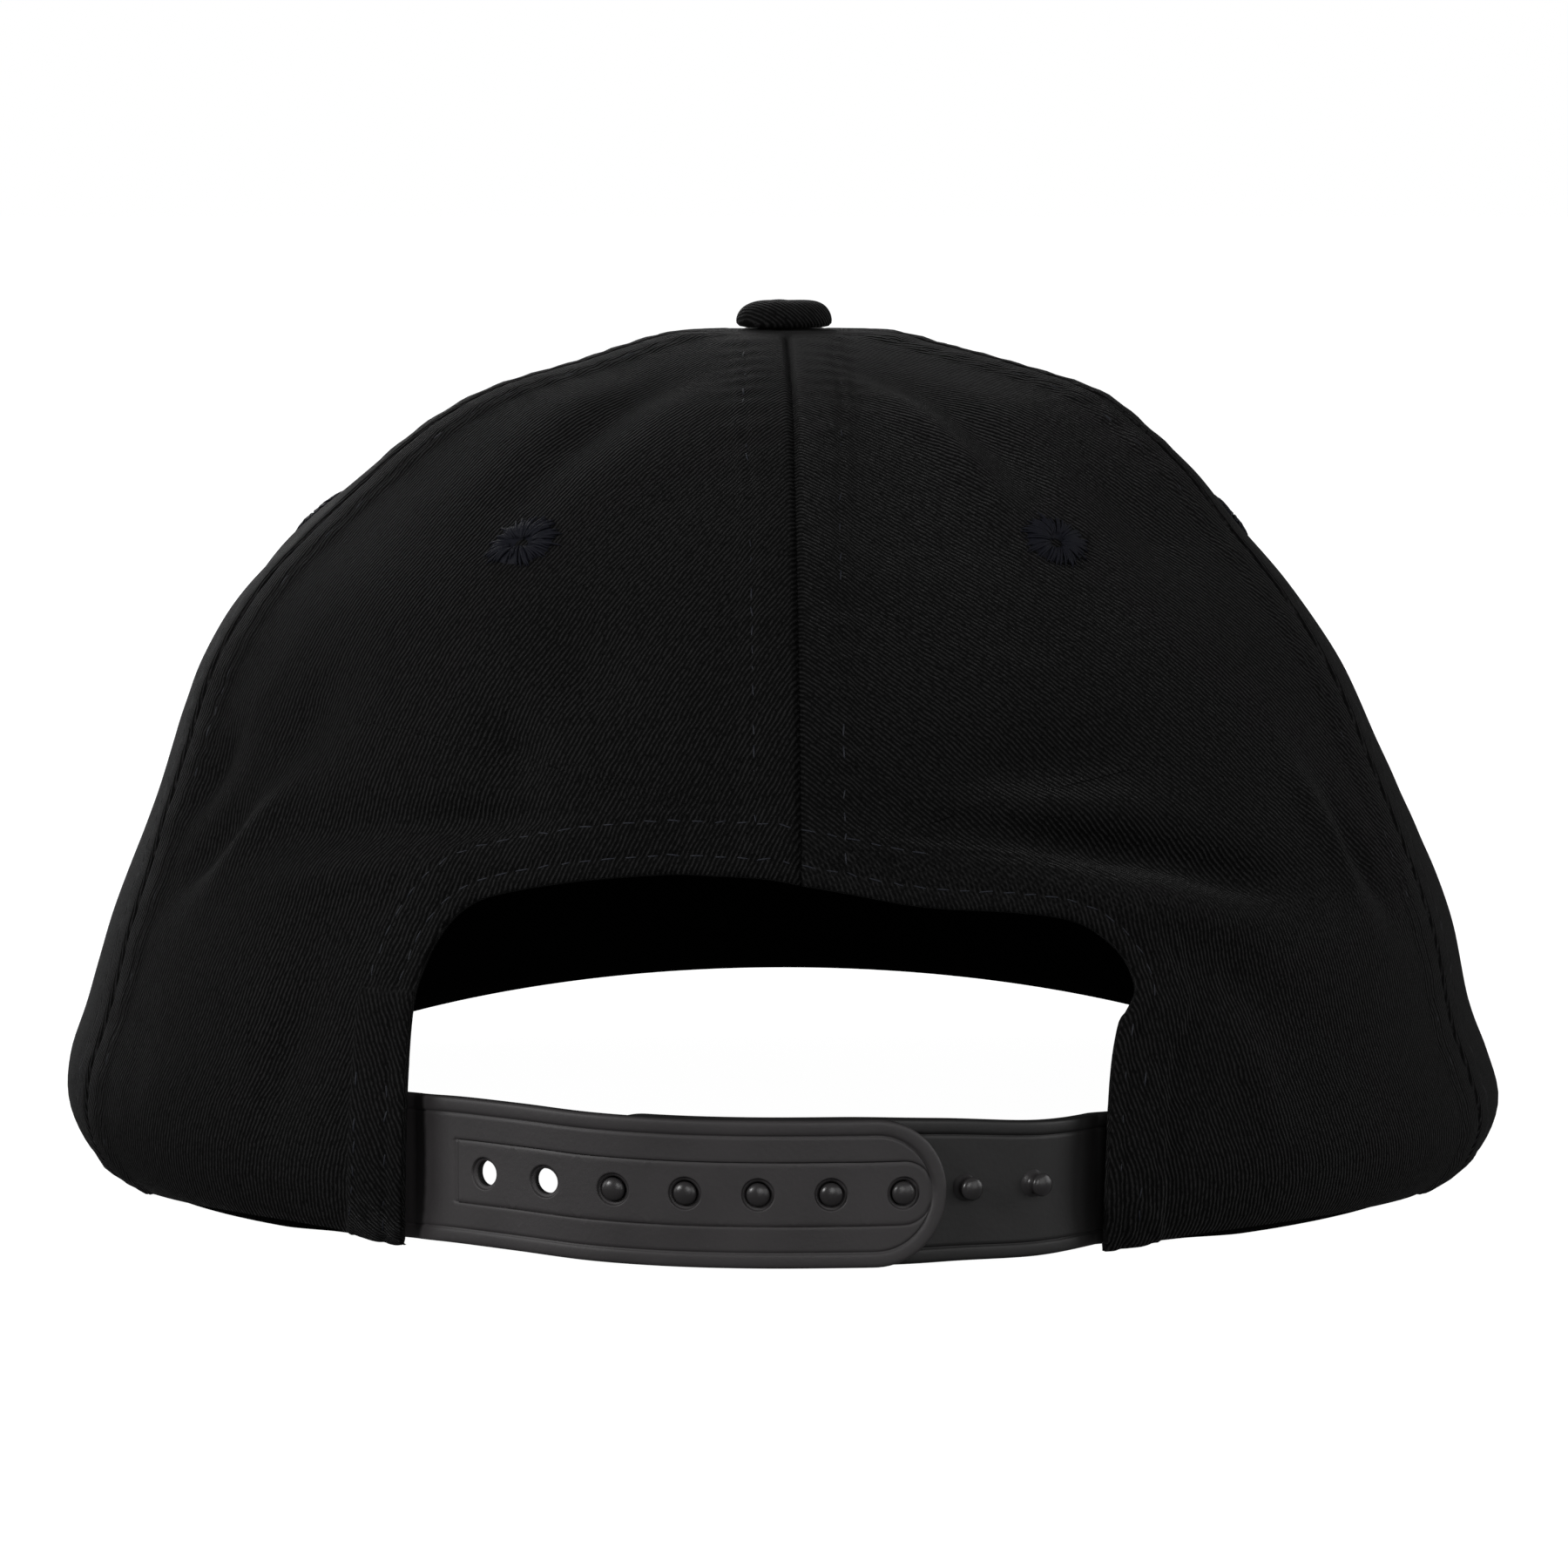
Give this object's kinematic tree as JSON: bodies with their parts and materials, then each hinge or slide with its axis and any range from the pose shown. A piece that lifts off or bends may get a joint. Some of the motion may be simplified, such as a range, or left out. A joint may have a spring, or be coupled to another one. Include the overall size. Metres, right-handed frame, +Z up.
{
  "type": "snapback cap",
  "caption": "Black cotton snapback cap with sewn crown panels, covered button, curved peak, sweatband, embroidered eyelets and a plastic snap strap across the back opening.",
  "frame": {"origin": "centre of the head opening, in the plane that the cap rests on", "axes": "+Z up through the button, +Y towards the peak, +X towards the wearer's right; the snap strap is at -Y"},
  "size_m": [0.1993, 0.2628, 0.1201],
  "materials": {
    "cotton": "matte",
    "sweatband": "matte",
    "thread": "satin",
    "strap_plastic": "satin"
  },
  "bodies": {
    "root": {"panel_back_right": "cotton", "panel_back_left": "cotton", "panel_side_right": "cotton", "panel_front_right": "cotton", "panel_front_left": "cotton", "panel_side_left": "cotton", "button": "cotton", "peak": "cotton", "sweatband": "sweatband", "strap_left": "strap_plastic", "strap_right": "strap_plastic", "eyelet_back_left": "thread", "eyelet_back_right": "thread", "eyelet_side_left": "thread", "eyelet_side_right": "thread", "eyelet_front_left": "thread", "eyelet_front_right": "thread"}
  },
  "joints": []
}
